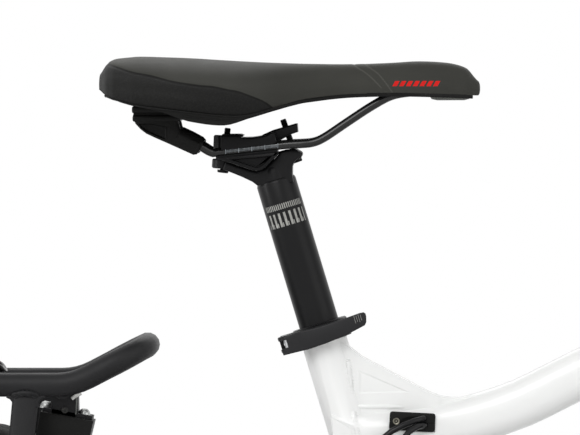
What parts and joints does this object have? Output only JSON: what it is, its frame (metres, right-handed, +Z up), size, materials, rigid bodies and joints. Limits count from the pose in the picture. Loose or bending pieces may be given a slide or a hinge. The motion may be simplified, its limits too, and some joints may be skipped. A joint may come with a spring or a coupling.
{
  "type": "electric trekking bike",
  "caption": "Electric city and trekking bicycle with suspension fork, mid motor, frame battery, rear rack, mudguards, side stand and a height-adjustable padded saddle.",
  "frame": {"origin": "on the ground, straight under the rear axle, where the rear tyre rests", "axes": "+X forwards to the front wheel, +Y to the rider's left, +Z up"},
  "size_m": [1.859, 0.6672, 1.1063],
  "materials": {
    "white_paint": "gloss white",
    "black_powder_coat": "fine matt powder coat",
    "black_anodised": "black satin",
    "black_enamel": "gloss black",
    "black_plastic": "fine texture",
    "grey_plastic": "satin",
    "saddle_vinyl": "soft grained vinyl",
    "rubber": "matt",
    "tyre": "matt",
    "steel": "bright",
    "aluminium": "satin",
    "lens": "clear",
    "red_lens": "clear red"
  },
  "bodies": {
    "frame_body": {"frame": "white_paint", "cable_port_cover": "black_plastic", "rear_brake_hose": "black_plastic", "rear_shift_cable": "black_plastic", "rear_rack": "black_powder_coat", "rear_mudguard": "black_plastic", "mudguard_bracket": "black_plastic", "rear_light": "red_lens", "seat_collar": "black_anodised", "seat_collar_pin": "steel", "motor": "grey_plastic", "motor_cover": "black_plastic", "chain": "steel", "rear_axle": "steel", "rear_caliper": "black_anodised"},
    "saddle_post": {"seatpost": "black_anodised", "rail_cradle": "black_anodised", "rail_clamp": "black_anodised", "clamp_bolt_rear": "steel", "clamp_bolt_front": "steel", "saddle_cover": "saddle_vinyl", "saddle_shell": "black_plastic", "saddle_rails": "black_enamel", "saddle_rear_block": "black_plastic"},
    "collar_lever": {"seat_collar_lever": "black_anodised"},
    "rack_clip": {"spring_clip": "black_enamel"},
    "battery_pack": {"battery": "black_plastic"},
    "crankset": {"crank_axle": "steel", "crank_arm_right": "black_anodised", "crank_arm_left": "black_anodised", "chainring": "black_anodised", "chain_guard": "black_plastic"},
    "sprocket": {"rear_sprocket": "steel"},
    "right_pedal": {"pedal_right": "black_plastic"},
    "left_pedal": {"pedal_left": "black_plastic"},
    "rear_wheel": {"rear_hub": "aluminium", "rear_rim": "black_anodised", "rear_tyre": "tyre", "rear_brake_disc": "steel"},
    "steering": {"fork_steerer": "black_anodised", "headlight": "lens", "stem": "black_anodised", "handlebar": "black_anodised", "grip_right": "rubber", "grip_left": "rubber", "brake_master_right": "black_anodised", "brake_master_left": "black_anodised", "display": "black_plastic"},
    "lower_fork": {"fork_lowers": "black_plastic", "front_mudguard": "black_plastic", "front_axle": "steel", "front_caliper": "black_anodised"},
    "front_wheel": {"front_hub": "aluminium", "front_rim": "black_anodised", "front_tyre": "tyre", "front_brake_disc": "steel"},
    "right_brake_lever": {"brake_lever_right": "aluminium"},
    "left_brake_lever": {"brake_lever_left": "aluminium"},
    "gear_twist": {"twist_shifter": "rubber"},
    "side_stand": {"stand_leg": "black_anodised"}
  },
  "joints": [
    {"name": "seatpost_slide", "type": "slide", "parent": "frame_body", "child": "saddle_post", "axis": [-0.2895, 0, 0.9572], "range_m": [-0.09, 0.06]},
    {"name": "collar_lever_turn", "type": "hinge", "parent": "frame_body", "child": "collar_lever", "pos_m": [0.29705, -0.016, 0.78053], "axis": [-0.2895, 0, 0.9572], "range_deg": [-120, 0]},
    {"name": "rack_clip_lift", "type": "hinge", "parent": "frame_body", "child": "rack_clip", "pos_m": [-0.235, 0, 0.7624], "axis": [0, 1, 0], "range_deg": [-100, 0], "stiffness_Nm_per_rad": 0.6, "springref_deg": 34.38},
    {"name": "battery_lift", "type": "slide", "parent": "frame_body", "child": "battery_pack", "axis": [-0.8407, 0, 0.5415], "range_m": [0, 0.075]},
    {"name": "crank_turn", "type": "hinge", "parent": "frame_body", "child": "crankset", "pos_m": [0.47166, 0, 0.3], "axis": [0, 1, 0], "continuous": true, "deforming": ["chain"]},
    {"name": "sprocket_turn", "type": "hinge", "parent": "frame_body", "child": "sprocket", "pos_m": [0, 0, 0.355], "axis": [0, 1, 0], "continuous": true},
    {"name": "right_pedal_turn", "type": "hinge", "parent": "crankset", "child": "right_pedal", "pos_m": [0.64166, -0.135, 0.3], "axis": [0, 1, 0], "continuous": true},
    {"name": "left_pedal_turn", "type": "hinge", "parent": "crankset", "child": "left_pedal", "pos_m": [0.30166, 0.135, 0.3], "axis": [0, 1, 0], "continuous": true},
    {"name": "rear_wheel_turn", "type": "hinge", "parent": "frame_body", "child": "rear_wheel", "pos_m": [0, 0, 0.355], "axis": [0, 1, 0], "continuous": true},
    {"name": "steering_turn", "type": "hinge", "parent": "frame_body", "child": "steering", "pos_m": [0.92553, 0, 0.79017], "axis": [-0.342, 0, 0.9397], "range_deg": [-45, 45]},
    {"name": "fork_slide", "type": "slide", "parent": "steering", "child": "lower_fork", "axis": [-0.342, 0, 0.9397], "range_m": [0, 0.06], "stiffness_N_per_m": 6000, "springref_m": -0.04},
    {"name": "front_wheel_turn", "type": "hinge", "parent": "lower_fork", "child": "front_wheel", "pos_m": [1.135, 0, 0.355], "axis": [0, 1, 0], "continuous": true},
    {"name": "right_brake_lever_pull", "type": "hinge", "parent": "steering", "child": "right_brake_lever", "pos_m": [0.9315, -0.19184, 1.06569], "axis": [0.4938, -0.1869, 0.8493], "range_deg": [-16, 0], "stiffness_Nm_per_rad": 0.5, "springref_deg": 17.19},
    {"name": "left_brake_lever_pull", "type": "hinge", "parent": "steering", "child": "left_brake_lever", "pos_m": [0.9315, 0.19184, 1.06569], "axis": [-0.4938, -0.1869, -0.8493], "range_deg": [-16, 0], "stiffness_Nm_per_rad": 0.5, "springref_deg": 17.19},
    {"name": "gear_twist_turn", "type": "hinge", "parent": "steering", "child": "gear_twist", "pos_m": [0.90321, -0.165, 1.08804], "axis": [-0.3367, -0.9416, -0.0114], "range_deg": [-45, 45]},
    {"name": "side_stand_fold", "type": "hinge", "parent": "frame_body", "child": "side_stand", "pos_m": [0.07, 0.082, 0.318], "axis": [0, 0.9478, 0.3189], "range_deg": [0, 95]}
  ],
  "couplings": [
    {"joint": "sprocket_turn", "follows": "crank_turn", "ratio": 2}
  ]
}
